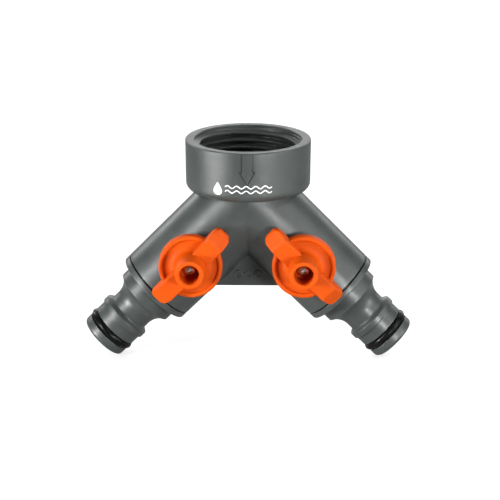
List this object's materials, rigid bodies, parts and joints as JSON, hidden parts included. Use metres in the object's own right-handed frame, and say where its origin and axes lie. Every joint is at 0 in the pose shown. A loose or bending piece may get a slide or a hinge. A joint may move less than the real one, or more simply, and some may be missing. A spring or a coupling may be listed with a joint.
{
  "type": "hose splitter",
  "caption": "Tap splitter with a threaded inlet socket, a branch to each side at 45 degrees, a quarter-turn valve in each branch and push-on hose plugs.",
  "frame": {"origin": "centre of the inlet socket's mouth, in the plane of its rim", "axes": "+Z out of the inlet socket, +X towards the right branch, -Y out of the valve knobs"},
  "size_m": [0.1032, 0.0469, 0.071],
  "materials": {
    "grey_plastic": "satin moulded plastic with a fine spark texture on the collar",
    "orange_plastic": "satin moulded plastic, orange",
    "rubber": "smooth black rubber",
    "seat_plastic": "waxy white sealing plastic",
    "ball_plastic": "polished off-white plastic",
    "brass": "turned brass",
    "screw_steel": "bright nickel-plated steel"
  },
  "bodies": {
    "manifold": {"body": "grey_plastic", "inlet_washer": "rubber", "left_nipple": "grey_plastic", "left_nipple_oring": "rubber", "left_joint_gasket": "rubber", "left_inlet_seat": "seat_plastic", "left_outlet_seat": "seat_plastic", "right_nipple": "grey_plastic", "right_nipple_oring": "rubber", "right_joint_gasket": "rubber", "right_inlet_seat": "seat_plastic", "right_outlet_seat": "seat_plastic"},
    "left_valve": {"left_ball": "ball_plastic", "left_stem": "brass", "left_thrust_washer": "seat_plastic", "left_stem_oring_inner": "rubber", "left_stem_oring_outer": "rubber", "left_knob": "orange_plastic", "left_knob_screw": "screw_steel"},
    "right_valve": {"right_ball": "ball_plastic", "right_stem": "brass", "right_thrust_washer": "seat_plastic", "right_stem_oring_inner": "rubber", "right_stem_oring_outer": "rubber", "right_knob": "orange_plastic", "right_knob_screw": "screw_steel"}
  },
  "joints": [
    {"name": "left_valve_turn", "type": "hinge", "parent": "manifold", "child": "left_valve", "pos_m": [-0.01775, 0, -0.03715], "axis": [0, 1, 0], "range_deg": [0, 90]},
    {"name": "right_valve_turn", "type": "hinge", "parent": "manifold", "child": "right_valve", "pos_m": [0.01775, 0, -0.03715], "axis": [0, 1, 0], "range_deg": [0, 90]}
  ]
}
